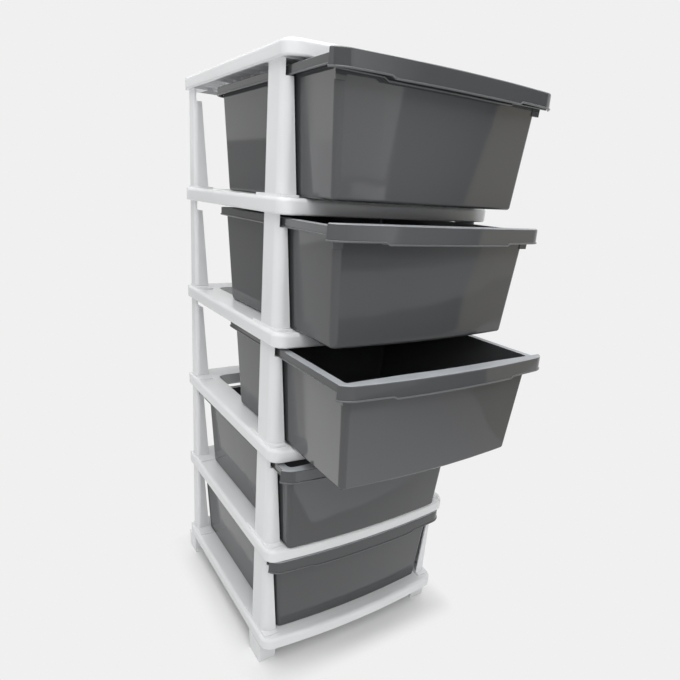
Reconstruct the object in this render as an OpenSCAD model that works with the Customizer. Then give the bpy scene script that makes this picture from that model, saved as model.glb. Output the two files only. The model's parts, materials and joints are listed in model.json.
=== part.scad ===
// Five-tier drawer tower: a stacked frame of moulded shelves and posts, with five lift-out drawers.
// The origin is on the floor under the middle of the shelves. The front faces -Y and +Z is up.

/* [Tower] */
// Overall width across the shelf rims
tower_w = 380; // [350:1:420]
// Overall depth, from the middle of the bowed front to the back
tower_d = 405; // [370:1:450]
// How far the middle of the front stands out past its ends
bow = 12; // [6:0.5:18]
// Corner radius of the shelves in plan
corner_r = 20; // [17:0.5:24]
// Height from one shelf top to the next
tier_h = 180; // [150:1:220]
// Height of the feet under the base frame
foot_h = 40; // [28:1:60]

/* [Shelves] */
// Height of a shelf rim
rim_h = 22; // [21:0.5:28]
// Radius of the rolled top edge of a rim
rim_roll = 6; // [5:0.5:8]
// Radius of the lower edge of a rim
rim_edge = 3; // [1.5:0.5:4]
// Thickness of the moulded plates, walls and bosses
frame_wall = 2.6; // [2:0.2:3.2]
// Width of a side rail, from the rim to the opening
side_rail = 47; // [42:0.5:52]
// Width of the front rail at the middle of the bow
front_rail = 48; // [42:1:60]
// Width of the back rail
back_rail = 50; // [44:1:60]
// Corner radius of the opening between the rails
opening_r = 16; // [8:1:24]
// Thickness of the stiffening ribs under the rails
rib_t = 1.8; // [1.4:0.1:2.4]
// Distance from one stiffening rib to the next
rib_step = 34; // [28:1:50]
// How far a rib stops short of the lower edge of its rim
rib_short = 4; // [2:0.5:8]

/* [Top panel] */
// Height of the skirt round the top panel
top_h = 20; // [19:0.5:26]

/* [Posts] */
// Distance of the front posts behind the middle of the bow
post_setback = 28.5; // [26:0.5:36]
// Depth of a front post
front_post_d = 50; // [42:1:58]
// Depth of a back post
back_post_d = 38; // [34:1:44]
// Width of a post at its foot
post_foot_w = 24.5; // [22:0.5:27]
// Width of a post just under its ledge
post_head_w = 13.5; // [12:0.5:16]
// Wall of a post
post_wall = 3; // [2.4:0.2:3.6]
// Wall left beside the notch at the top of a post
notch_wall = 4; // [3.4:0.2:5]
// Radius of the inner vertical corner of a post
post_inner_r = 7; // [4:0.5:9]
// Length of the tongues that plug a post into its shelves
tongue_l = 8; // [5:0.5:8.5]
// Clearance round a tongue or plug in its socket
fit_clear = 0.3; // [0.2:0.05:0.5]
// Height of the raised collar that carries a post
collar_h = 3; // [2:0.5:5]
// How far a collar runs along its rail past a post
collar_tail = 24; // [12:1:30]
// How far a collar runs past the closed end of a post
collar_nose = 8; // [4:0.5:10]

/* [Feet] */
// Width of a foot
foot_w = 34; // [30:0.5:38]
// Depth of a front foot
front_foot_d = 42; // [36:1:48]
// Depth of a back foot
back_foot_d = 36; // [32:1:40]
// How far a front foot stands behind the face of its post
foot_step = 2; // [0:0.5:4]
// How far a foot draws in towards the floor
foot_taper = 1.5; // [0:0.25:3]
// Wall of a foot
foot_wall = 3; // [2.4:0.2:4]

/* [Drawers] */
// Pull-out of the first drawer from the top
out_1 = 92; // [0:0.5:300]
// Pull-out of the second drawer
out_2 = 111; // [0:0.5:300]
// Pull-out of the third drawer
out_3 = 157; // [0:0.5:300]
// Pull-out of the fourth drawer
out_4 = 27; // [0:0.5:300]
// Pull-out of the fifth drawer
out_5 = 1.5; // [0:0.5:300]
// Thickness of the drawer walls and floor
tub_wall = 2.4; // [1.8:0.2:3]
// Height of the runner edge under a drawer
skid_h = 3; // [2:0.5:5]
// Corner radius of a drawer at its mouth
tub_r = 10; // [8:0.5:14]
// Corner radius of a drawer at its floor
tub_floor_r = 9; // [7.5:0.5:12]
// How far the front wall leans in from mouth to floor
front_lean = 8; // [2:0.5:12]
// How far the back wall leans in from mouth to floor
back_lean = 5; // [1:0.5:12]
// Clearance between a drawer and the shelf it slides on
run_clear = 0.3; // [0.2:0.1:1]
// Clearance between a drawer and the posts beside it
side_clear = 3.5; // [1.5:0.5:5]
// Clearance between a drawer front and the rim above it
lip_clear = 0.6; // [0.5:0.1:3]
// Room behind a closed drawer, up to the back of the shelves
back_room = 24.5; // [20:0.5:40]

/* [Drawer front] */
// Height of the grip band at its ends
lip_h = 20; // [16:0.5:26]
// Extra height of the grip band along its middle
grip_drop = 3; // [2:0.5:8]
// Half length of the deeper middle of the grip band
grip_half = 104; // [60:1:140]
// Thickness of the grip band
lip_wall = 3; // [2.4:0.2:4]
// Finger room behind the grip band
finger_room = 13; // [9:0.5:16]
// How far the grip band flares out towards its lower edge
lip_flare = 2; // [0:0.25:2.5]
// Corner radius of the grip band in plan
lip_r = 27; // [20:0.5:30]
// How far the ends of the grip band reach back from its middle
lip_depth = 20.5; // [18:0.5:24]
// Radius of the rolled top edge of the grip band
lip_roll = 2.5; // [1:0.25:3]

/* [Drawer flange] */
// Height of the flange round the sides and back
flange_h = 11; // [8:0.5:15]
// Step from the top of the grip band down to the flange
flange_drop = 3.8; // [2:0.2:6]
// Clearance between the flange and the wall of the post notch
flange_clear = 4; // [1:0.5:5]
// Clearance between the flange and the ledge of a post
ledge_clear = 1.5; // [0.8:0.1:3]
// Depth of the stop tabs below the top of the grip band
tab_drop = 30; // [22:1:40]
// Thickness of a stop tab
tab_t = 3; // [2:0.5:4]
// How far a stop tab stands out from the side of its drawer
tab_reach = 5; // [4.5:0.5:7]
// Clearance between a stop tab and the post that it meets
tab_clear = 0.3; // [0.2:0.1:1]

/* [Hidden] */
TIERS = 5;
OUTS = [out_1, out_2, out_3, out_4, out_5];
// Side of the tower and end of the shelf that each corner lies on
CORNERS = [["front_left", -1, true], ["front_right", 1, true],
           ["back_left", -1, false], ["back_right", 1, false]];
$fn = 48;

// A cut runs this far past the face that it opens
past = 1;
// Segments along the bow, round a corner in plan and round a rolled edge
bow_steps = 12;
corner_steps = 8;
roll_steps = 5;
edge_steps = 3;
frame_white = [0.88, 0.89, 0.89];
drawer_grey = [0.36, 0.37, 0.38];

rim_x = tower_w / 2;
rim_y = tower_d / 2;
// All front curves share one centre behind the tower
bow_radius = (rim_x * rim_x + bow * bow) / (2 * bow);
bow_y = bow_radius - rim_y;

// The posts stand just inside the rolled edge of the rims
post_x = rim_x - rim_roll;
post_r = corner_r - rim_roll;
front_post_y = -rim_y + post_setback;
back_post_y = rim_y - rim_roll - back_post_d;

// Closed drawer: the grip band lies just inside the rims
drawer_h = tier_h - rim_h - run_clear - lip_clear;
lip_x = rim_x - rim_edge;
lip_front = -rim_y + 1;
lip_back = lip_front + lip_depth;
tub_front = lip_front + lip_wall + finger_room;
flange_back = rim_y - back_room;
flange_x = post_x - notch_wall - flange_clear;
flange_top = drawer_h - flange_drop;
tub_x = post_x - post_head_w - side_clear;
tub_floor_x = post_x - post_foot_w - side_clear;
flange_out = flange_x - tub_x;
tub_back = flange_back - flange_out;
floor_top = skid_h + tub_wall;
floor_round = 4;
ledge_z = run_clear + flange_top - flange_h - ledge_clear;

// The plug of a foot and the tongues of a post, kept this far inside the piece
plug_inset = 6;
tongue_inset = 0.6;

// ---- outlines in plan, listed anticlockwise seen from above ----

function arc(cx, cy, r, from, to, steps, first = 0, last = 0) =
    [for (i = [first:steps - last]) let (a = from + (to - from) * i / steps)
        [cx + r * cos(a), cy + r * sin(a)]];

// Straight sides and back with round corners, and a front on the shared bow
function bowed(half_w, front, back, front_r, back_r) =
    let (r = bow_y - front,
         turn = asin((half_w - front_r) / (r - front_r)),
         corner_y = bow_y - (r - front_r) * cos(turn))
    concat(
        arc(0, bow_y, r, 270 - turn, 270 + turn, bow_steps),
        arc(half_w - front_r, corner_y, front_r, turn - 90, 0, corner_steps, first = 1),
        back_end(half_w, back, back_r),
        arc(-half_w + front_r, corner_y, front_r, 180, 270 - turn, corner_steps, last = 1));

function back_end(half_w, back, back_r) = back_r == 0 ? [[half_w, back], [-half_w, back]] :
    concat(
        arc(half_w - back_r, back - back_r, back_r, 0, 90, corner_steps),
        arc(-half_w + back_r, back - back_r, back_r, 90, 180, corner_steps));

function shelf_plan(inset) =
    bowed(rim_x - inset, -rim_y + inset, rim_y - inset, corner_r - inset, corner_r - inset);

function opening_plan(grow) =
    bowed(rim_x - side_rail + grow, -rim_y + front_rail - grow, rim_y - back_rail + grow,
          opening_r + grow, opening_r + grow);

// Half width of the tub at a height
function tub_side(z) = tub_floor_x + (tub_x - tub_floor_x) * z / flange_top;

// Outline of the tub at a height, drawn in by an inset
function tub_plan(z, inset) =
    let (t = z / flange_top, r = tub_floor_r + (tub_r - tub_floor_r) * t - inset)
    bowed(tub_side(z) - inset,
          tub_front + front_lean * (1 - t) + inset,
          tub_back - back_lean * (1 - t) - inset, max(r, 1), max(r, 1));

// Outline of the grip band before its ends are cut off
function lip_plan(inset) =
    bowed(lip_x - inset, lip_front + inset, lip_front + 2 * lip_r, lip_r - inset, 0);

// The flange starts square in the end walls of the grip band
function flange_plan(inset) =
    concat([[-flange_x + inset, lip_back - lip_wall / 2], [flange_x - inset, lip_back - lip_wall / 2]],
           back_end(flange_x - inset, flange_back - inset, tub_r + flange_out - inset));

// ---- solids through stacked outlines, each given as [height, points] ----

module loft(sections) {
    n = len(sections[0][1]);
    m = len(sections);
    points = [for (s = sections, p = s[1]) [p[0], p[1], s[0]]];
    base = [for (i = [0:n - 1]) i];
    lid = [for (i = [n - 1:-1:0]) (m - 1) * n + i];
    sides = [for (k = [0:m - 2], i = [0:n - 1])
        let (a = k * n + i, b = k * n + (i + 1) % n)
        each [[a, a + n, b + n], [a, b + n, b]]];
    polyhedron(points, concat([base, lid], sides));
}

// Insets and heights down a rounded lower edge and up a rolled top edge
function lower_edge(r, z, steps) =
    [for (i = [0:steps]) let (a = 90 * i / steps) [r * (1 - sin(a)), z + r * (1 - cos(a))]];
function upper_edge(r, z, steps) =
    [for (i = [0:steps]) let (a = 90 * i / steps) [r * (1 - cos(a)), z - r * (1 - sin(a))]];

// ---- shelves ----

module rim_solid(h) {
    edge = concat(lower_edge(rim_edge, 0, edge_steps), upper_edge(rim_roll, h, roll_steps));
    loft([for (e = edge) [e[1], shelf_plan(e[0])]]);
}

// Hollow under the rails, between the rim wall and the wall round the opening
module rail_channel(h) {
    rim_wall = frame_wall + 1;
    translate([0, 0, -past])
        linear_extrude(h - frame_wall + past)
            difference() {
                polygon(shelf_plan(rim_wall));
                polygon(opening_plan(frame_wall));
            }
}

// Cross ribs under the rails, clear of the lower edge
module rail_ribs(h) {
    side_ribs = floor((tower_d - front_rail - back_rail) / rib_step);
    end_ribs = floor((tower_w - 2 * side_rail) / rib_step);
    side_mid = (front_rail - back_rail) / 2;
    intersection() {
        translate([0, 0, rib_short])
            linear_extrude(h - rib_short - frame_wall / 2)
                difference() {
                    polygon(shelf_plan(frame_wall));
                    polygon(opening_plan(frame_wall / 2));
                }
        union() {
            for (i = [0:side_ribs])
                translate([-rim_x, side_mid + (i - side_ribs / 2) * rib_step - rib_t / 2, 0])
                    cube([tower_w, rib_t, h]);
            for (i = [0:end_ribs])
                translate([(i - end_ribs / 2) * rib_step - rib_t / 2, -rim_y, 0])
                    cube([rib_t, tower_d, h]);
        }
    }
}

// Places its child at a corner; the child is drawn for the right-hand side
module at_corner(c) {
    mirror([c[1] < 0 ? 1 : 0, 0, 0]) children();
}

function post_y(c) = c[2] ? front_post_y : back_post_y;
function post_d(c) = c[2] ? front_post_d : back_post_d;
function foot_d(c) = c[2] ? front_foot_d : back_foot_d;
function foot_y(c) = c[2] ? front_post_y + foot_step : rim_y - rim_edge - back_foot_d;

// Block in a corner of a shelf that holds the sockets
module corner_boss(c, h) {
    boss_x = post_x - post_foot_w;
    translate([boss_x, post_y(c) + 1, 0])
        cube([rim_x - frame_wall - boss_x, post_d(c) - 2, h - frame_wall / 2]);
}

// Raised pad with a sloping outer side, flush with the inner side of the post
module collar(c, h) {
    slope = rim_roll / 3;
    nose = c[2] ? collar_nose : collar_tail;
    tail = c[2] ? collar_tail : 0;
    inner = post_x - post_foot_w;
    y0 = post_y(c) - nose;
    y1 = post_y(c) + post_d(c) + tail;
    sunk = rim_roll / 2;
    intersection() {
        translate([0, 0, h - sunk])
            linear_extrude(sunk + collar_h)
                difference() {
                    translate([inner, y0])
                        square([post_x + slope - inner, y1 - y0]);
                    round_off(post_x + slope, y0, 1, -1, post_inner_r);
                    round_off(post_x + slope, y1, 1, 1, c[2] ? post_inner_r : post_r + slope);
                }
        translate([0, y1 + past, h])
            rotate([90, 0, 0])
                linear_extrude(y1 - y0 + 2 * past)
                    polygon([[inner - past, -sunk], [post_x + slope, -sunk],
                             [post_x + slope * 0.8, -sunk / 2],
                             [post_x + fit_clear, collar_h], [inner - past, collar_h]]);
        // Past the rolled edge of a rounded shelf corner the pad is cut back with the rim
        linear_extrude(h + collar_h + past)
            polygon(shelf_plan(rim_roll - slope));
    }
}

// Cut that rounds one corner of a flat outline; sx and sy point out of the corner
module round_off(x, y, sx, sy, r) {
    translate([x - sx * r, y - sy * r])
        difference() {
            translate([sx > 0 ? 0 : -r - past, sy > 0 ? 0 : -r - past])
                square(r + past);
            circle(r);
        }
}

// The sockets that meet the foot of the post above, the head of the post below and a foot
module post_plug(c, grow, l) {
    translate([post_x - post_foot_w + plug_inset / 2 - grow, post_y(c) + plug_inset - grow, 0])
        cube([post_foot_w - plug_inset + 2 * grow, post_d(c) - 2 * plug_inset + 2 * grow, l]);
}

module post_tongue(c, grow, l) {
    shy = post_r;
    translate([post_x - notch_wall + tongue_inset - grow, post_y(c) + shy - grow, 0])
        cube([notch_wall - 2 * tongue_inset + 2 * grow, post_d(c) - 2 * shy + 2 * grow, l]);
}

module foot_plug(c, grow, l) {
    translate([rim_x - foot_w + plug_inset - grow, foot_y(c) + plug_inset - grow, 0])
        cube([foot_w - 2 * plug_inset + 2 * grow, foot_d(c) - 2 * plug_inset + 2 * grow, l]);
}

socket_depth = tongue_l + 2 * fit_clear;

module rails(h) {
    difference() {
        rim_solid(h);
        rail_channel(h);
    }
    rail_ribs(h);
}

module shelf_frame(h, on_feet) {
    difference() {
        union() {
            rails(h);
            for (c = CORNERS) at_corner(c) {
                corner_boss(c, h);
                collar(c, h);
            }
        }
        translate([0, 0, -past])
            linear_extrude(h + 2 * past)
                polygon(opening_plan(0));
        for (c = CORNERS) at_corner(c) {
            translate([0, 0, h + collar_h - socket_depth])
                post_plug(c, fit_clear, socket_depth + past);
            translate([0, 0, -past])
                if (on_feet) foot_plug(c, fit_clear, socket_depth + past);
                else post_tongue(c, fit_clear, socket_depth + past);
        }
    }
}

module shelf(t) {
    color(frame_white)
        translate([0, 0, floor_z(t) - rim_h])
            shelf_frame(rim_h, false);
}

module base_frame() {
    color(frame_white)
        translate([0, 0, foot_h])
            shelf_frame(rim_h, true);
}

module top_panel() {
    color(frame_white)
        translate([0, 0, floor_z(0) - top_h])
            difference() {
                union() {
                    rails(top_h);
                    panel_ribs();
                    for (c = CORNERS) at_corner(c) corner_boss(c, top_h);
                }
                translate([0, 0, -past])
                    linear_extrude(top_h - frame_wall + past)
                        difference() {
                            polygon(opening_plan(0));
                            panel_rib_lines();
                        }
                for (c = CORNERS) at_corner(c)
                    translate([0, 0, -past])
                        post_tongue(c, fit_clear, socket_depth + past);
            }
}

// Ribs across the underside of the panel, on the lines of the rail ribs
module panel_rib_lines() {
    count = 2;
    for (i = [-count:count]) {
        translate([i * 2 * rib_step - rib_t / 2, -rim_y])
            square([rib_t, tower_d]);
        translate([-rim_x, i * 2 * rib_step - rib_t / 2])
            square([tower_w, rib_t]);
    }
}

module panel_ribs() {
    translate([0, 0, rib_short])
        linear_extrude(top_h - rib_short - frame_wall / 2)
            intersection() {
                polygon(opening_plan(frame_wall / 2));
                panel_rib_lines();
            }
}

// Height of the surface that drawer t slides on; tier 0 is the top of the tower
function floor_z(t) = foot_h + rim_h + (TIERS - t) * tier_h;

// ---- posts: open channels whose inner side follows the taper of the drawers ----

module post_plan(c, inset) {
    y0 = post_y(c) + inset;
    y1 = post_y(c) + post_d(c) - inset;
    x1 = post_x - inset;
    front_r = (c[2] ? post_r : post_inner_r) - inset;
    back_r = (c[2] ? post_inner_r : post_r) - inset;
    difference() {
        translate([post_x - post_foot_w - past, y0])
            square([x1 - post_x + post_foot_w + past, y1 - y0]);
        round_off(x1, y0, 1, -1, front_r);
        round_off(x1, y1, 1, 1, back_r);
    }
}

module post_shape(c, h) {
    head_z = ledge_z - collar_h;
    y1 = post_y(c) + post_d(c);
    intersection() {
        linear_extrude(h)
            post_plan(c, 0);
        translate([0, y1 + past, 0])
            rotate([90, 0, 0])
                linear_extrude(post_d(c) + 2 * past)
                    polygon([[post_x - post_foot_w, 0], [post_x + past, 0], [post_x + past, h + past],
                             [post_x - notch_wall, h + past], [post_x - notch_wall, head_z],
                             [post_x - post_head_w, head_z]]);
    }
}

module post(t, c) {
    h = tier_h - (t == 1 ? top_h : rim_h) - collar_h;
    head_z = ledge_z - collar_h;
    color(frame_white)
        translate([0, 0, floor_z(t) + collar_h])
            at_corner(c) {
                difference() {
                    post_shape(c, h);
                    translate([0, 0, post_wall])
                        linear_extrude(head_z - 2 * post_wall)
                            post_plan(c, post_wall);
                }
                translate([0, 0, -tongue_l]) post_plug(c, 0, tongue_l + post_wall / 2);
                translate([0, 0, h - post_wall]) post_tongue(c, 0, tongue_l + post_wall);
            }
}

// ---- feet: short channels, open to the inside, on a closed sole ----

module foot(c) {
    y0 = foot_y(c);
    d = foot_d(c);
    x1 = rim_x - fit_clear;
    x0 = x1 - foot_w;
    color(frame_white)
        at_corner(c) {
            intersection() {
                difference() {
                    translate([x0, y0, 0])
                        cube([foot_w, d, foot_h]);
                    translate([x0 - past, y0 + foot_wall, foot_wall])
                        cube([foot_w - foot_wall + past, d - 2 * foot_wall, foot_h - 2 * foot_wall]);
                }
                translate([0, y0 + d + past, 0])
                    rotate([90, 0, 0])
                        linear_extrude(d + 2 * past)
                            polygon([[x0 + foot_taper, 0], [x1 - foot_taper, 0],
                                     [x1, foot_h], [x0, foot_h]]);
                translate([x0 - past, 0, 0])
                    rotate([90, 0, 90])
                        linear_extrude(foot_w + 2 * past)
                            polygon([[y0 + foot_taper, 0], [y0 + d - foot_taper, 0],
                                     [y0 + d, foot_h], [y0, foot_h]]);
            }
            translate([0, 0, foot_h - foot_wall / 2])
                foot_plug(c, 0, tongue_l + foot_wall / 2);
        }
}

// ---- drawers: a tapered tub with a flange, a deep grip band in front and two stop tabs ----

module tub_outside() {
    edge = lower_edge(floor_round, 0, edge_steps);
    loft(concat([for (e = edge) [e[1], tub_plan(e[1], e[0])]],
                [[flange_top, tub_plan(flange_top, 0)]]));
}

module tub_inside() {
    edge = lower_edge(floor_round, floor_top, edge_steps);
    loft(concat([for (e = edge) [e[1], tub_plan(e[1], e[0] + tub_wall)]],
                [[drawer_h + past, tub_plan(drawer_h + past, tub_wall)]]));
}

// Hollow under the floor; the runner edge is left at the front and sides
module floor_recess() {
    skid_in = floor_round + tub_wall;
    translate([0, 0, -past])
        linear_extrude(skid_h + past) {
            polygon(tub_plan(0, skid_in));
            translate([-tub_floor_x + skid_in, 0])
                square([2 * (tub_floor_x - skid_in), flange_back]);
        }
}

module grip_band() {
    low = drawer_h - lip_h - grip_drop;
    difference() {
        loft(concat([[low, lip_plan(-lip_flare)]],
                    [for (e = upper_edge(lip_roll, drawer_h, roll_steps)) [e[1], lip_plan(e[0])]]));
        translate([0, 0, low - past])
            linear_extrude(lip_h + grip_drop - lip_wall + past)
                difference() {
                    polygon(lip_plan(lip_wall));
                    polygon(tub_plan(flange_top, 0));
                    translate([-rim_x, lip_back - lip_wall])
                        square([tower_w, 2 * lip_r]);
                }
        translate([-rim_x, lip_back, low - past])
            cube([tower_w, 2 * lip_r, lip_h + grip_drop + 2 * past]);
        for (side = [0, 1]) mirror([side, 0, 0]) {
            // The ends of the band are shallower than its middle
            translate([0, 0, low])
                rotate([90, 0, 0])
                    linear_extrude(rim_y + past)
                        polygon([[grip_half, -past], [grip_half, 0], [grip_half + 2 * grip_drop, grip_drop],
                                 [rim_x, grip_drop], [rim_x, -past]]);
        }
    }
}

module flange() {
    low = flange_top - flange_h;
    edge = upper_edge(tub_wall / 2, flange_top, edge_steps);
    difference() {
        loft(concat([[low, flange_plan(0)]], [for (e = edge) [e[1], flange_plan(e[0])]]));
        translate([0, 0, low - past])
            linear_extrude(flange_h - tub_wall + past)
                difference() {
                    polygon(flange_plan(tub_wall));
                    polygon(tub_plan(flange_top, 0));
                }
    }
}

// Plates behind the ends of the grip band that meet the front posts when the drawer shuts
module stop_tabs() {
    low = drawer_h - tab_drop;
    high = flange_top - tub_wall / 2;
    for (side = [0, 1]) mirror([side, 0, 0])
        translate([0, front_post_y - tab_clear, 0])
            rotate([90, 0, 0])
                linear_extrude(tab_t)
                    polygon([[tub_floor_x, low], [tub_side(low) + tab_reach, low],
                             [tub_side(high) + tab_reach, high], [tub_floor_x, high]]);
}

module drawer(t) {
    color(drawer_grey)
        translate([0, -OUTS[t - 1], floor_z(t) + run_clear])
            difference() {
                union() {
                    tub_outside();
                    grip_band();
                    flange();
                    stop_tabs();
                }
                tub_inside();
                floor_recess();
            }
}

top_panel();
for (t = [1:TIERS - 1]) shelf(t);
base_frame();
for (t = [1:TIERS], c = CORNERS) post(t, c);
for (c = CORNERS) foot(c);
for (t = [1:TIERS]) drawer(t);
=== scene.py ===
# Drawer tower with a white moulded frame and grey drawers, on a plain pale floor.
import json
import math

import bmesh
import bpy
from mathutils import Matrix, Vector


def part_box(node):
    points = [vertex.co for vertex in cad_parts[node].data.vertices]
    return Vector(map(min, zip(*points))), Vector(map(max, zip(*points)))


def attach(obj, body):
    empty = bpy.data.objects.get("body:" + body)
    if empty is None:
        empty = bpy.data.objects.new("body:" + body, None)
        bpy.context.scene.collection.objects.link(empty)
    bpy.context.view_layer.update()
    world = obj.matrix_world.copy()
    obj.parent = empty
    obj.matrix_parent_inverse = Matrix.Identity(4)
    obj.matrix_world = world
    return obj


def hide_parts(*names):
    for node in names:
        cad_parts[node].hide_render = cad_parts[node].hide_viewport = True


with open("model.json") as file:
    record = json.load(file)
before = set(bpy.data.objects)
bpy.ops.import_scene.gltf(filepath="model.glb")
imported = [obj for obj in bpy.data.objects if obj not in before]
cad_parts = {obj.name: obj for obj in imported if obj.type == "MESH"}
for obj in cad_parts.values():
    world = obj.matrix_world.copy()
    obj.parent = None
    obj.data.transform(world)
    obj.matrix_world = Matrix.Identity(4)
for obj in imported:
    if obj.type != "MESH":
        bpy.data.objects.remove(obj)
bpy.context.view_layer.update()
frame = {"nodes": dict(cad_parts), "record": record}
scene = bpy.context.scene
mm = 0.001
print("frame loaded:", len(frame["nodes"]), "pieces")


def deselectAll():
    if bpy.context.object and bpy.context.object.mode != "OBJECT":
        bpy.ops.object.mode_set(mode="OBJECT")
    bpy.ops.object.select_all(action="DESELECT")


def makeActive(piece):
    deselectAll()
    piece.select_set(True)
    bpy.context.view_layer.objects.active = piece


cameraSettings = {
    "place": (-516.5 * mm, -826.1 * mm, 796.2 * mm),
    "azimuth": -32.35,     # degrees, the camera stands to the left of the front
    "elevation": 18.62,
    "roll": 3.885,
    "focalLength": 28.46,  # in millimetres, as is the sensor's width
    "sensorWidth": 36,
    "shiftRight": 0.0285,
    "shiftUp": 0.043,
}


def makeCamera(settings):
    azimuth, elevation, roll = (math.radians(settings[k]) for k in ("azimuth", "elevation", "roll"))
    right = Vector((math.cos(azimuth), math.sin(azimuth), 0))
    forward = Vector((-math.sin(azimuth) * math.cos(elevation),
                      math.cos(azimuth) * math.cos(elevation), -math.sin(elevation)))
    up = right.cross(forward)
    tiltedRight = right * math.cos(roll) + up * math.sin(roll)
    tiltedUp = up * math.cos(roll) - right * math.sin(roll)
    turn = Matrix((tiltedRight, tiltedUp, -forward)).transposed().to_4x4()
    bpy.ops.object.camera_add()
    camera = bpy.context.object
    camera.name = "photoCamera"
    camera.matrix_world = Matrix.Translation(settings["place"]) @ turn
    camera.data.sensor_width = settings["sensorWidth"]
    camera.data.lens = settings["focalLength"]
    camera.data.shift_x = settings["shiftRight"]
    camera.data.shift_y = settings["shiftUp"]
    scene.camera = camera
    print("camera placed")


makeCamera(cameraSettings)

whiteSettings = {
    "colour": (0.79, 0.80, 0.81),
    "roughness": 0.22,
    "roughnessSpread": 0.04,
    "waveSize": 9.0,
    "waveHeight": 0.0003,
    "grainSize": 900.0,
    "grainHeight": 0.00001,
}
greySettings = {
    "colour": (0.075, 0.077, 0.080),
    "roughness": 0.06,
    "roughnessSpread": 0.02,
    "waveSize": 7.0,
    "waveHeight": 0.0003,
    "grainSize": 1100.0,
    "grainHeight": 0.000004,
    # The pale, matt film on up-facing rims is partly dust and partly a painted sheen where the overhead light
    # catches the tops
    "dustAndSheen": 0.9,
    "dustAndSheenColour": (0.44, 0.46, 0.485),
    "dustAndSheenRoughness": 0.55,
    "dustAndSheenFrom": 150 * mm,  # height over the drawer's floor, so that only its rims go matt
}
# The beads' paler colour is a painted highlight along the band's and flange's lower edges
beadHighlightSettings = dict(greySettings, colour=(0.115, 0.118, 0.122), roughness=0.22)
gloss = 1.49        # refraction of the plastic
tintSpread = 0.04   # how far its colour strays each way
patternSettings = {
    "flowStretch": (1.0, 1.0, 0.35),  # the plastic ran up and down the mould
    "waveDetail": 1.0,
    "grainDetail": 2.0,
    "smearSize": 22.0,
    "smearDetail": 4.0,
    "tierHeight": 180 * mm,
    "lowestFloor": 62.3 * mm,
    "dustAndSheenLean": (0.35, 0.9),          # from this upward lean the dust and painted sheen start, from that they lie full
    "patchSize": 14.0,
    "patchDetail": 5.0,
    "patchRange": (0.2, 0.7),
    "thinnestDustAndSheen": 0.7,
}


def startGroup(name, inputs, outputs):
    group = bpy.data.node_groups.new(name, "ShaderNodeTree")
    for socketName, value in inputs:
        socket = group.interface.new_socket(socketName, in_out="INPUT", socket_type="NodeSocketFloat")
        socket.default_value = value
    for socketName in outputs:
        group.interface.new_socket(socketName, in_out="OUTPUT", socket_type="NodeSocketFloat")
    given, result = group.nodes.new("NodeGroupInput"), group.nodes.new("NodeGroupOutput")
    return group, given.outputs, result.inputs


def setOrLink(tree, socket, value):
    if isinstance(value, float):
        socket.default_value = value
    else:
        tree.links.new(value, socket)


def calculate(tree, operation, first, second):
    node = tree.nodes.new("ShaderNodeMath")
    node.operation = operation
    setOrLink(tree, node.inputs[0], first)
    setOrLink(tree, node.inputs[1], second)
    return node.outputs[0]


def addNoise(tree, place, size, detail):
    noise = tree.nodes.new("ShaderNodeTexNoise")
    noise.inputs["Detail"].default_value = detail
    tree.links.new(place, noise.inputs["Vector"])
    setOrLink(tree, noise.inputs["Scale"], size)
    return noise.outputs["Fac"]


def makeMouldedSurface(settings):
    # Slow waves from cooling, streaks from the flow of the plastic, and the fine grain of the mould
    group, given, result = startGroup("mouldedSurface", (
        ("Wave Size", 8.0), ("Wave Height", 0.001), ("Grain Size", 1000.0),
        ("Grain Height", 0.00003), ("Roughness", 0.3), ("Roughness Spread", 0.05)),
        ("Height", "Roughness", "Shade"))
    place = group.nodes.new("ShaderNodeTexCoord").outputs["Object"]
    stretch = group.nodes.new("ShaderNodeMapping")
    stretch.inputs["Scale"].default_value = settings["flowStretch"]
    group.links.new(place, stretch.inputs["Vector"])
    flow = stretch.outputs["Vector"]
    waves = addNoise(group, flow, given["Wave Size"], settings["waveDetail"])
    grain = addNoise(group, place, given["Grain Size"], settings["grainDetail"])
    smears = addNoise(group, flow, settings["smearSize"], settings["smearDetail"])
    height = calculate(group, "ADD", calculate(group, "MULTIPLY", waves, given["Wave Height"]),
                       calculate(group, "MULTIPLY", grain, given["Grain Height"]))
    centred = calculate(group, "SUBTRACT", smears, 0.5)
    rough = calculate(group, "ADD", calculate(group, "MULTIPLY", centred, given["Roughness Spread"]),
                      given["Roughness"])
    for socketName, value in (("Height", height), ("Roughness", rough), ("Shade", waves)):
        group.links.new(value, result[socketName])
    return group


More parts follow.
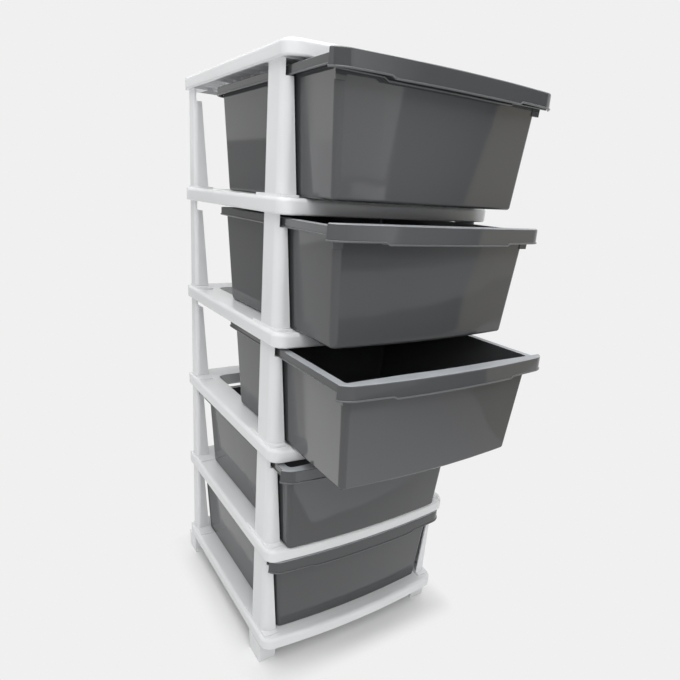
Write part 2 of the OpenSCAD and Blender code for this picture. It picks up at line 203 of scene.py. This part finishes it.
def makeDustAndSheen(settings):
    # Pale matt film on the faces that look up, above a height in each tier: partly dust, partly a painted
    # sheen where the overhead light catches the tops
    group, given, result = startGroup("dustAndSheenGroup", (("Amount", 0.5), ("From Height", 0.0)), ("Dust And Sheen",))
    place = group.nodes.new("ShaderNodeTexCoord").outputs["Object"]
    parts = group.nodes.new("ShaderNodeSeparateXYZ")
    group.links.new(place, parts.inputs[0])
    overFloor = calculate(group, "SUBTRACT", parts.outputs["Z"], settings["lowestFloor"])
    tierPlace = calculate(group, "MODULO", overFloor, settings["tierHeight"])
    above = calculate(group, "GREATER_THAN", tierPlace, given["From Height"])
    surface = group.nodes.new("ShaderNodeNewGeometry")
    lean = group.nodes.new("ShaderNodeSeparateXYZ")
    group.links.new(surface.outputs["Normal"], lean.inputs[0])
    upward = group.nodes.new("ShaderNodeMapRange")
    upward.interpolation_type = "SMOOTHSTEP"
    for socketName, value in zip(("From Min", "From Max"), settings["dustAndSheenLean"]):
        upward.inputs[socketName].default_value = value
    group.links.new(lean.outputs["Z"], upward.inputs["Value"])
    patches = addNoise(group, place, settings["patchSize"], settings["patchDetail"])
    thickness = group.nodes.new("ShaderNodeMapRange")
    for socketName, value in zip(("From Min", "From Max"), settings["patchRange"]):
        thickness.inputs[socketName].default_value = value
    thickness.inputs["To Min"].default_value = settings["thinnestDustAndSheen"]
    group.links.new(patches, thickness.inputs["Value"])
    dustAndSheen = calculate(group, "MULTIPLY", calculate(group, "MULTIPLY", above, upward.outputs[0]),
                     thickness.outputs[0])
    group.links.new(calculate(group, "MULTIPLY", dustAndSheen, given["Amount"]), result["Dust And Sheen"])
    return group


mouldedSurface = makeMouldedSurface(patternSettings)
dustAndSheenGroup = makeDustAndSheen(patternSettings)


def makePlastic(name, settings):
    material = bpy.data.materials.new(name)
    material.use_nodes = True
    nodes, links = material.node_tree.nodes, material.node_tree.links
    shader = nodes["Principled BSDF"]
    shader.inputs["IOR"].default_value = gloss
    surface = nodes.new("ShaderNodeGroup")
    surface.node_tree = mouldedSurface
    for socketName, key in (("Wave Size", "waveSize"), ("Wave Height", "waveHeight"),
                            ("Grain Size", "grainSize"), ("Grain Height", "grainHeight"),
                            ("Roughness", "roughness"), ("Roughness Spread", "roughnessSpread")):
        surface.inputs[socketName].default_value = settings[key]
    tint = nodes.new("ShaderNodeMix")
    tint.data_type = "RGBA"
    colour = Vector(settings["colour"])
    tint.inputs[6].default_value = (*(colour * (1 - tintSpread)), 1)
    tint.inputs[7].default_value = (*(colour * (1 + tintSpread)), 1)
    links.new(surface.outputs["Shade"], tint.inputs[0])
    colourResult, roughResult = tint.outputs[2], surface.outputs["Roughness"]
    # Pale matt film on the upward rims: dust and a painted sheen
    if "dustAndSheen" in settings:
        dustAndSheen = nodes.new("ShaderNodeGroup")
        dustAndSheen.node_tree = dustAndSheenGroup
        dustAndSheen.inputs["Amount"].default_value = settings["dustAndSheen"]
        dustAndSheen.inputs["From Height"].default_value = settings["dustAndSheenFrom"]
        dustedAndSheened = nodes.new("ShaderNodeMix")
        dustedAndSheened.data_type = "RGBA"
        dustedAndSheened.inputs[7].default_value = (*settings["dustAndSheenColour"], 1)
        links.new(dustAndSheen.outputs["Dust And Sheen"], dustedAndSheened.inputs[0])
        links.new(colourResult, dustedAndSheened.inputs[6])
        matt = nodes.new("ShaderNodeMix")
        matt.inputs[3].default_value = settings["dustAndSheenRoughness"]
        links.new(dustAndSheen.outputs["Dust And Sheen"], matt.inputs[0])
        links.new(roughResult, matt.inputs[2])
        colourResult, roughResult = dustedAndSheened.outputs[2], matt.outputs[0]
    links.new(colourResult, shader.inputs["Base Color"])
    links.new(roughResult, shader.inputs["Roughness"])
    bump = nodes.new("ShaderNodeBump")
    bump.inputs["Distance"].default_value = 1.0
    links.new(surface.outputs["Height"], bump.inputs["Height"])
    links.new(bump.outputs["Normal"], shader.inputs["Normal"])
    return material


framePlastic = makePlastic("framePlastic", whiteSettings)
drawerPlastic = makePlastic("drawerPlastic", greySettings)
beadHighlightPlastic = makePlastic("beadHighlightPlastic", beadHighlightSettings)  # paler plastic for the beads, a painted highlight along their edges
print("materials made")

edgeSettings = {
    "weld": 0.02 * mm,
    "flat": 1.0,        # degrees under which neighbouring faces are one face
    "sharp": 32.0,      # degrees over which an edge is rounded
    "round": 0.5 * mm,
    "steps": 2,
}
beadSettings = {
    "radius": 1.3 * mm,
    "rounding": 4,
    "drawIn": 1.3 * mm,       # the band's lower edge goes in by this, so the bead keeps to the drawer's size
    "bandLow": 134.1 * mm,    # heights over the drawer's underside
    "bandStep": 3.0 * mm,
    "bandTop": 156.0 * mm,
    "bandBack": -181.0 * mm,  # where the ends of the band stop, on a shut drawer
    "bandHalf": 189.0 * mm,
    "bandDeep": 22.5 * mm,
    "endWidth": 5 * mm,
    "endLeast": 5 * mm,       # a shorter edge on the band's end isn't its upright one
    "flangeLow": 142.3 * mm,
    "flangeCore": (157 * mm, 159 * mm),  # centre of a back corner, on a shut drawer
    "flangeReach": 14.5 * mm,            # the flange's outer wall lies further out than this from there
    "backOfDrawer": 178.0 * mm,
    "frontCore": 0.1,         # the band's faces look away from a point this far behind its ends
    "upright": 0.3,           # a standing face leans less than this
    "outward": 0.02,
    "bandDown": -0.5,         # the faces under the band and flange look down at least as much as these
    "flangeDown": -0.9,
    "slack": 0.06 * mm,
}


def selectEdges(mesh, wanted):
    shape = bmesh.from_edit_mesh(mesh)
    shape.normal_update()
    for face in shape.faces:
        face.select_set(False)
    for edge in shape.edges:
        edge.select_set(len(edge.link_faces) == 2 and wanted(edge))
    shape.select_flush_mode()
    bmesh.update_edit_mesh(mesh)
    return sum(edge.select for edge in shape.edges)


def addBeads(piece, tier, settings):
    # Thin round beads along the lower edges of the grip band and flange, and up the ends of the band
    low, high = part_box("drawer_%d" % tier)
    bottom = low[2]
    shift = high[1] - settings["backOfDrawer"]  # how far the drawer stands from where it is shut
    slack = settings["slack"]
    bandBack = settings["bandBack"] + shift
    bandLow, bandTop = settings["bandLow"], settings["bandTop"]

    def heights(edge):
        return sorted(v.co.z - bottom for v in edge.verts)

    def depths(edge):
        return sorted(v.co.y for v in edge.verts)

    def looksOut(edge, face, centreY):
        middle = (edge.verts[0].co + edge.verts[1].co) / 2
        outwards = face.normal.x * middle.x + face.normal.y * (middle.y - centreY)
        return abs(face.normal.z) < settings["upright"] and outwards > settings["outward"] * abs(middle.x)

    def onBand(edge):
        lowest, highest = heights(edge)
        return (depths(edge)[1] <= bandBack + slack
                and lowest >= bandLow - slack and highest <= bandLow + settings["bandStep"] + slack
                and any(f.normal.z < settings["bandDown"] for f in edge.link_faces)
                and any(looksOut(edge, f, bandBack + settings["frontCore"]) for f in edge.link_faces))

    def onEnd(edge):
        lowest, highest = heights(edge)
        nearest, furthest = depths(edge)
        return (nearest > bandBack - slack and furthest < bandBack + slack
                and min(abs(v.co.x) for v in edge.verts) > settings["bandHalf"] - settings["endWidth"]
                and lowest > bandLow and highest < bandTop and highest - lowest > settings["endLeast"])

    def reachesOut(place):
        coreX, coreY = settings["flangeCore"]
        aside, behind = max(abs(place.x) - coreX, 0), max(place.y - shift - coreY, 0)
        return math.hypot(aside, behind) > settings["flangeReach"]

    def onFlange(edge):
        return (all(abs(height - settings["flangeLow"]) < slack for height in heights(edge))
                and all(reachesOut(v.co) for v in edge.verts)
                and any(f.normal.z < settings["flangeDown"] for f in edge.link_faces)
                and any(looksOut(edge, f, shift) for f in edge.link_faces))

    makeActive(piece)
    bpy.ops.object.mode_set(mode="EDIT")
    bpy.ops.mesh.select_mode(type="EDGE")
    bandEdges = selectEdges(piece.data, onBand)
    bpy.ops.transform.resize(value=(1 - settings["drawIn"] / settings["bandHalf"],
                                    1 - settings["drawIn"] / settings["bandDeep"], 1),
                             center_override=(0, bandBack, bottom))
    allEdges = selectEdges(piece.data, lambda edge: onBand(edge) or onEnd(edge) or onFlange(edge))
    print("bead edges on drawer", tier, bandEdges, allEdges)
    bpy.ops.mesh.duplicate()
    bpy.ops.mesh.separate(type="SELECTED")
    bpy.ops.object.mode_set(mode="OBJECT")
    bead = [part for part in bpy.context.selected_objects if part != piece][0]
    makeActive(bead)
    bpy.ops.object.convert(target="CURVE")
    bead = bpy.context.object
    bead.data.bevel_depth = settings["radius"]
    bead.data.bevel_resolution = settings["rounding"]
    bead.data.use_fill_caps = True
    bpy.ops.object.convert(target="MESH")
    bpy.ops.object.shade_smooth()
    # The beads take the paler plastic: a painted highlight
    bpy.context.object.data.materials.append(beadHighlightPlastic)
    return bpy.context.object


def dressNode(nodeName, body, material, settings):
    cad = frame["nodes"][nodeName]
    piece = bpy.data.objects.new(nodeName + "_dressed", cad.data.copy())
    scene.collection.objects.link(piece)
    makeActive(piece)
    bpy.ops.object.mode_set(mode="EDIT")
    bpy.ops.mesh.select_all(action="SELECT")
    bpy.ops.mesh.remove_doubles(threshold=settings["weld"])
    bpy.ops.mesh.dissolve_limited(angle_limit=math.radians(settings["flat"]))
    bpy.ops.object.mode_set(mode="OBJECT")
    beads = addBeads(piece, int(nodeName[-1]), beadSettings) if nodeName.startswith("drawer") else None
    makeActive(piece)
    bevel = piece.modifiers.new("edges", "BEVEL")
    bevel.width = settings["round"]
    bevel.segments = settings["steps"]
    bevel.limit_method = "ANGLE"
    bevel.angle_limit = math.radians(settings["sharp"])
    bpy.ops.object.modifier_apply(modifier=bevel.name)
    bpy.ops.object.shade_smooth_by_angle(angle=math.radians(settings["sharp"]))
    weigh = piece.modifiers.new("weigh", "WEIGHTED_NORMAL")
    weigh.keep_sharp = True
    bpy.ops.object.modifier_apply(modifier=weigh.name)
    piece.data.materials.clear()
    piece.data.materials.append(material)
    if beads:
        beads.select_set(True)
        bpy.ops.object.join()
    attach(piece, body)
    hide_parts(nodeName)
    return piece


bodies = frame["record"]["behaviour"]["bodies"]
for body, members in bodies.items():
    for nodeName in members:
        if nodeName.startswith("drawer"):
            dressNode(nodeName, body, drawerPlastic, edgeSettings)
        else:
            dressNode(nodeName, body, framePlastic, edgeSettings)
print("pieces dressed")

stageSettings = {
    "floorSize": 40.0,
    "floorColour": (0.86, 0.86, 0.86),
    "backgroundColour": (0.871, 0.871, 0.871),  # the pale grey of the photo's backdrop
    "footprint": (0.19, 0.2, 0.01),  # half sizes of the ground under the tower
    "shadowReach": 0.05,             # the floor turns into plain backdrop over this distance
    "plainShare": 0.06,              # share of plain backdrop right beside the feet
    "ambient": 0.26,
}
lampSettings = {
    "overheadLamp": {"place": (-0.2, 0.2, 3.2), "aim": (0, 0, 0.4), "size": 3.2, "power": 74, "glossy": True},
    "frontLamp": {"place": (-0.4, -1.6, 2.8), "aim": (0, 0, 0.4), "size": 2.0, "power": 34, "glossy": True},
    "leftLamp": {"place": (-1.3, -2.3, 2.0), "aim": (0, 0, 0.45), "size": 1.5, "power": 16, "glossy": False},
}
# Dim and bright glowing cards round the tower: painted reflections, which only gloss shows. The corners run
# round each card, and its tone goes from the first to the second along the side from the first corner to the
# second.
cardSettings = [
    {"name": "upperCard", "tones": ((0.04, 0.04, 0.04), (0.06, 0.06, 0.06)),
     "corners": [(-2.8, -2.0, 1.38), (4.2, -2.0, 1.38), (4.2, -2.0, 4.0), (-2.8, -2.0, 4.0)]},
    {"name": "upperBrightReflectionCard", "tones": ((1.20, 1.20, 1.21), (0.04, 0.04, 0.04)),
     "corners": [(0.50, -1.99, 1.38), (1.18, -1.99, 1.38), (1.18, -1.99, 2.2), (0.50, -1.99, 2.2)]},
    {"name": "brightReflectionCard", "tones": ((1.02, 1.02, 1.02), (1.50, 1.50, 1.50)),
     "corners": [(0.52, -2.0, 0.67), (0.94, -2.0, 0.67), (1.07, -2.0, 1.14), (0.52, -2.0, 1.14)]},
    {"name": "brightStripReflectionCard", "tones": ((1.50, 1.50, 1.52), (1.90, 1.90, 1.92)),
     "corners": [(0.66, -2.0, 0.57), (0.96, -2.0, 0.57), (0.96, -2.0, 0.64), (0.66, -2.0, 0.64)]},
    {"name": "middleCard", "tones": ((0.62, 0.63, 0.66), (0.22, 0.23, 0.26)),
     "corners": [(0.98, -2.0, 0.50), (2.02, -2.0, 0.50), (2.40, -2.0, 1.36), (1.09, -2.0, 1.36)]},
    {"name": "rightCard", "tones": ((0.76, 0.71, 0.60), (0.60, 0.56, 0.47)),
     "corners": [(2.02, -2.0, 0.50), (4.80, -2.0, 0.50), (4.80, -2.0, 1.36), (2.40, -2.0, 1.36)]},
    {"name": "shadeCard", "tones": ((0.12, 0.12, 0.12), (0.50, 0.50, 0.50)),
     "corners": [(0.35, -2.0, 0.26), (2.30, -2.0, 0.24), (2.40, -2.0, 0.50), (0.35, -2.0, 0.50)]},
    {"name": "lowerCard", "tones": ((0.72, 0.73, 0.76), (0.56, 0.57, 0.60)),
     "corners": [(0.35, -2.0, 0.0), (2.18, -2.0, 0.0), (2.30, -2.0, 0.24), (0.35, -2.0, 0.26)]},
    {"name": "lowRightCard", "tones": ((0.80, 0.76, 0.66), (0.66, 0.62, 0.54)),
     "corners": [(2.18, -2.0, 0.0), (4.80, -2.0, 0.0), (4.80, -2.0, 0.50), (2.40, -2.0, 0.50)]},
    {"name": "farFloorCard", "tones": ((0.34, 0.35, 0.37), (0.12, 0.13, 0.15)),
     "corners": [(0.40, -2.0, 0.01), (2.18, -2.0, 0.01), (1.58, -1.50, 0.01), (0.40, -1.50, 0.01)]},
    {"name": "farRightFloorCard", "tones": ((0.62, 0.58, 0.50), (0.50, 0.47, 0.40)),
     "corners": [(2.18, -2.0, 0.01), (4.0, -2.0, 0.01), (4.0, -1.35, 0.01), (1.40, -1.35, 0.01)]},
    {"name": "nearFloorCard", "tones": ((1.50, 1.52, 1.56), (0.80, 0.80, 0.82)),
     "corners": [(0.02, -1.22, 0.01), (0.74, -1.22, 0.01), (0.62, -0.50, 0.01), (0.02, -0.50, 0.01)]},
    {"name": "nearMiddleFloorCard", "tones": ((0.80, 0.80, 0.82), (0.62, 0.60, 0.58)),
     "corners": [(0.74, -1.22, 0.01), (1.10, -1.22, 0.01), (0.86, -0.50, 0.01), (0.62, -0.50, 0.01)]},
    {"name": "nearRightFloorCard", "tones": ((0.46, 0.44, 0.39), (0.34, 0.33, 0.30)),
     "corners": [(1.10, -1.22, 0.01), (1.80, -1.22, 0.01), (1.80, -0.50, 0.01), (0.86, -0.50, 0.01)]},
    {"name": "dimBackCard", "tones": ((0.42, 0.42, 0.42), (0.42, 0.42, 0.42)),
     "corners": [(-1.28, 2.0, 0.0), (-0.60, 2.0, 0.0), (-0.60, 2.0, 0.88), (-1.28, 2.0, 0.88)]},
    {"name": "backCard", "tones": ((1.26, 1.26, 1.26), (1.40, 1.40, 1.42)),
     "corners": [(-1.85, 2.0, 0.30), (-1.30, 2.0, 0.30), (-1.34, 2.0, 0.85), (-1.85, 2.0, 0.85)]},
    {"name": "upperBackCard", "tones": ((1.75, 1.75, 1.70), (1.45, 1.45, 1.42)),
     "corners": [(-1.85, 2.0, 0.85), (-1.43, 2.0, 0.85), (-1.46, 2.0, 1.30), (-1.85, 2.0, 1.30)]},
    {"name": "backFloorCard", "tones": ((1.50, 1.50, 1.48), (1.70, 1.70, 1.68)),
     "corners": [(-0.80, 0.98, 0.01), (-0.80, 0.30, 0.01), (-0.40, 0.05, 0.01), (-0.40, 0.25, 0.01)]},
]


def makeWorld():
    world = bpy.data.worlds.new("studio")
    scene.world = world
    world.use_nodes = True
    nodes, links = world.node_tree.nodes, world.node_tree.links
    background = nodes["Background"]
    background.inputs["Color"].default_value = (1, 1, 1, 1)
    background.inputs["Strength"].default_value = stageSettings["ambient"]
    backdrop = nodes.new("ShaderNodeBackground")
    backdrop.inputs["Color"].default_value = (*stageSettings["backgroundColour"], 1)
    rays = nodes.new("ShaderNodeLightPath")
    seen = calculate(world.node_tree, "MAXIMUM", rays.outputs["Is Camera Ray"], rays.outputs["Is Glossy Ray"])
    seen = calculate(world.node_tree, "MAXIMUM", seen, rays.outputs["Is Transmission Ray"])
    mix = nodes.new("ShaderNodeMixShader")
    links.new(seen, mix.inputs[0])
    links.new(background.outputs[0], mix.inputs[1])
    links.new(backdrop.outputs[0], mix.inputs[2])
    links.new(mix.outputs[0], nodes["World Output"].inputs["Surface"])


def makeFloor():
    bpy.ops.mesh.primitive_plane_add(size=stageSettings["floorSize"])
    floor = bpy.context.object
    floor.name = "floor"
    material = bpy.data.materials.new("paleFloor")
    material.use_nodes = True
    nodes, links = material.node_tree.nodes, material.node_tree.links
    nodes.remove(nodes["Principled BSDF"])
    lit = nodes.new("ShaderNodeBsdfDiffuse")
    lit.inputs["Color"].default_value = (*stageSettings["floorColour"], 1)
    glow = nodes.new("ShaderNodeEmission")
    glow.inputs["Color"].default_value = (*stageSettings["backgroundColour"], 1)
    place = nodes.new("ShaderNodeTexCoord")
    steps = (("ABSOLUTE", None), ("SUBTRACT", stageSettings["footprint"]),
             ("MAXIMUM", (0, 0, 0)), ("LENGTH", None))
    last = place.outputs["Object"]
    for operation, value in steps:
        reach = nodes.new("ShaderNodeVectorMath")
        reach.operation = operation
        links.new(last, reach.inputs[0])
        if value:
            reach.inputs[1].default_value = value
        last = reach.outputs[0]
    fade = nodes.new("ShaderNodeMapRange")
    fade.interpolation_type = "SMOOTHSTEP"
    fade.inputs["From Max"].default_value = stageSettings["shadowReach"]
    fade.inputs["To Min"].default_value = stageSettings["plainShare"]
    links.new(reach.outputs["Value"], fade.inputs["Value"])
    mix = nodes.new("ShaderNodeMixShader")
    links.new(fade.outputs[0], mix.inputs[0])
    links.new(lit.outputs[0], mix.inputs[1])
    links.new(glow.outputs[0], mix.inputs[2])
    links.new(mix.outputs[0], nodes["Material Output"].inputs["Surface"])
    floor.data.materials.append(material)


def makeLamp(name, settings):
    bpy.ops.object.light_add(type="AREA", location=settings["place"])
    lamp = bpy.context.object
    lamp.name = name
    lamp.data.size = settings["size"]
    lamp.data.energy = settings["power"]
    aim = Vector(settings["aim"]) - Vector(settings["place"])
    lamp.rotation_euler = aim.to_track_quat("-Z", "Y").to_euler()
    lamp.visible_camera = False
    lamp.visible_glossy = settings["glossy"]


# A glowing card seen only in gloss: a painted reflection, no lamp
def makeCard(settings):
    bpy.ops.mesh.primitive_plane_add(size=1)
    card = bpy.context.object
    card.name = settings["name"]
    # A plane's own points run in rows, the corners run round
    for number, corner in zip((0, 1, 3, 2), settings["corners"]):
        card.data.vertices[number].co = corner
    material = bpy.data.materials.new(settings["name"])
    material.use_nodes = True
    nodes, links = material.node_tree.nodes, material.node_tree.links
    nodes.remove(nodes["Principled BSDF"])
    place = nodes.new("ShaderNodeUVMap")
    along = nodes.new("ShaderNodeSeparateXYZ")
    links.new(place.outputs[0], along.inputs[0])
    tone = nodes.new("ShaderNodeMix")
    tone.data_type = "RGBA"
    tone.inputs[6].default_value = (*settings["tones"][0], 1)
    tone.inputs[7].default_value = (*settings["tones"][1], 1)
    links.new(along.outputs["X"], tone.inputs[0])
    glow = nodes.new("ShaderNodeEmission")
    links.new(tone.outputs[2], glow.inputs["Color"])
    links.new(glow.outputs[0], nodes["Material Output"].inputs["Surface"])
    card.data.materials.append(material)
    card.visible_camera = False
    card.visible_diffuse = False
    card.visible_shadow = False


deselectAll()
makeWorld()
makeFloor()
for name, settings in lampSettings.items():
    makeLamp(name, settings)
for settings in cardSettings:
    makeCard(settings)
scene.view_settings.view_transform = "Standard"
print("stage lit")
